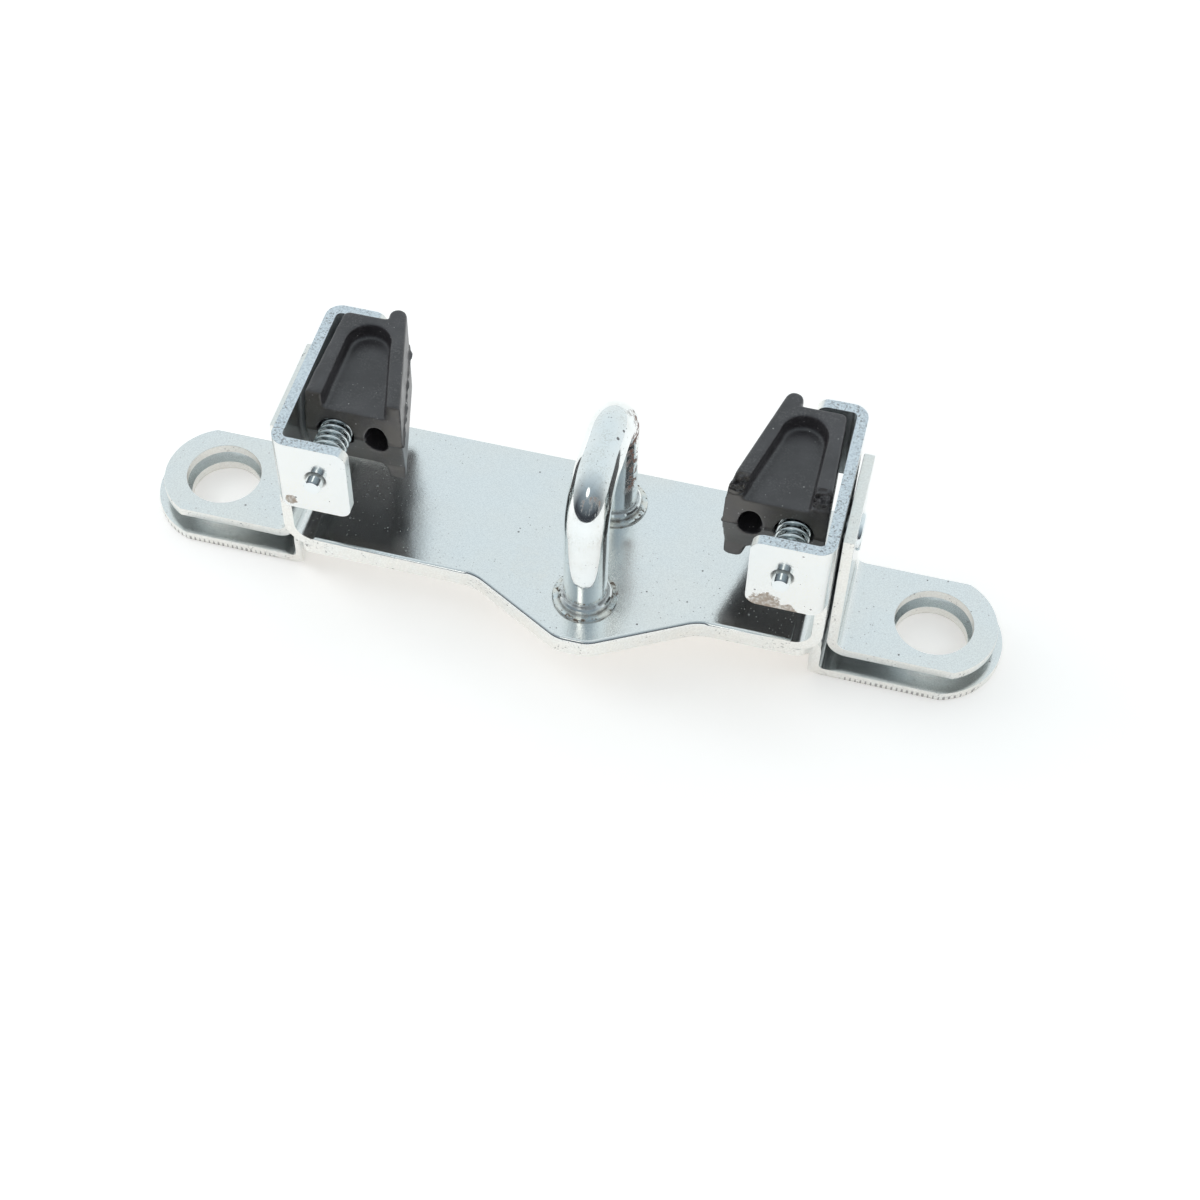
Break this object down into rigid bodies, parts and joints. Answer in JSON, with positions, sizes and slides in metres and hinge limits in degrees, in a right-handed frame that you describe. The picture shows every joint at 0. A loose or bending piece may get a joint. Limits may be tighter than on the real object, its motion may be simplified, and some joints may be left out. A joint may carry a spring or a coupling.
{
  "type": "door striker",
  "caption": "Folded steel door striker with a U-shaped bar for the latch, spring-loaded rubber guide wedges in towers at its ends, and stepped ears with bolt holes.",
  "frame": {"origin": "middle between the two bolt holes, on the mounting face under the ears", "axes": "+X along the row of bolt holes towards the side on which the bar stands, +Z away from the mounting face, -Y the side that the wedges are pushed towards"},
  "size_m": [0.164, 0.0444, 0.0439],
  "materials": {
    "zinc_sheet": "bright zinc-plated sheet, pale blue-grey",
    "bright_bar": "bright zinc-plated round bar, glossy",
    "plated_ring": "zinc-plated, duller",
    "plated_pin": "zinc-plated",
    "spring_wire": "plated spring wire",
    "black_rubber": "matte moulded rubber, dusty charcoal black"
  },
  "bodies": {
    "base": {"base_plate": "zinc_sheet", "striker_channel": "zinc_sheet", "striker_bar": "bright_bar", "front_seat_ring": "plated_ring", "rear_seat_ring": "plated_ring", "left_ear_bracket": "zinc_sheet", "left_rivet": "plated_pin", "left_pin": "plated_pin", "left_spring": "spring_wire", "right_ear_bracket": "zinc_sheet", "right_rivet": "plated_pin", "right_pin": "plated_pin", "right_spring": "spring_wire"},
    "left_wedge": {"left_wedge": "black_rubber"},
    "right_wedge": {"right_wedge": "black_rubber"}
  },
  "joints": [
    {"name": "left_wedge_slide", "type": "slide", "parent": "base", "child": "left_wedge", "axis": [0, -1, 0], "range_m": [0, 0.005], "stiffness_N_per_m": 1400, "springref_m": -0.0034, "deforming": ["left_spring"]},
    {"name": "right_wedge_slide", "type": "slide", "parent": "base", "child": "right_wedge", "axis": [0, -1, 0], "range_m": [-0.0015, 0.0035], "stiffness_N_per_m": 1400, "springref_m": -0.0049, "deforming": ["right_spring"]}
  ]
}
